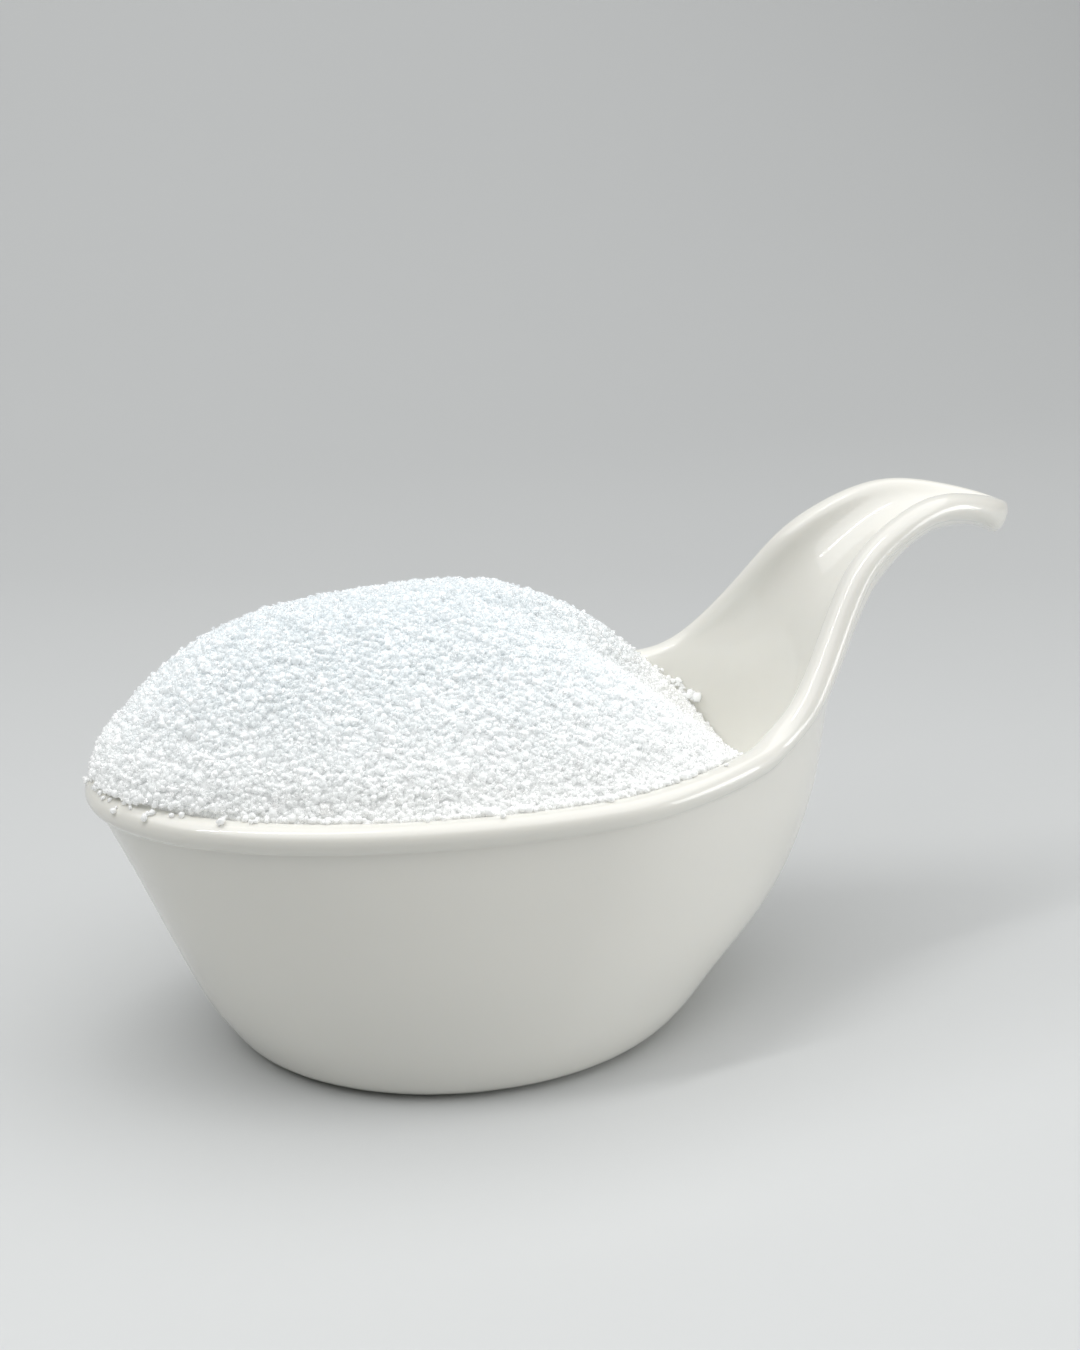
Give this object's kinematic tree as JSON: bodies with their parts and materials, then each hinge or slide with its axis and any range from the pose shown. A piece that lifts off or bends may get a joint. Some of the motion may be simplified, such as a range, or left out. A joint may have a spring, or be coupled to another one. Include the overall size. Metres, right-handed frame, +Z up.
{
  "type": "tasting bowl with sweetener",
  "caption": "Gourd-shaped glazed tasting bowl with a curled channel handle, heaped with granulated crystal sweetener.",
  "frame": {"origin": "centre of the flat foot, on the plane it stands on", "axes": "+Z up out of the bowl, +X from the bowl towards the tip of the handle, +Y across the bowl"},
  "size_m": [0.1026, 0.0496, 0.0508],
  "materials": {
    "glaze": "glossy ivory-white glaze",
    "crystal": "milky to clear white crystals with small sparkles"
  },
  "bodies": {
    "root": {"bowl": "glaze", "sweetener": "crystal"}
  },
  "joints": []
}
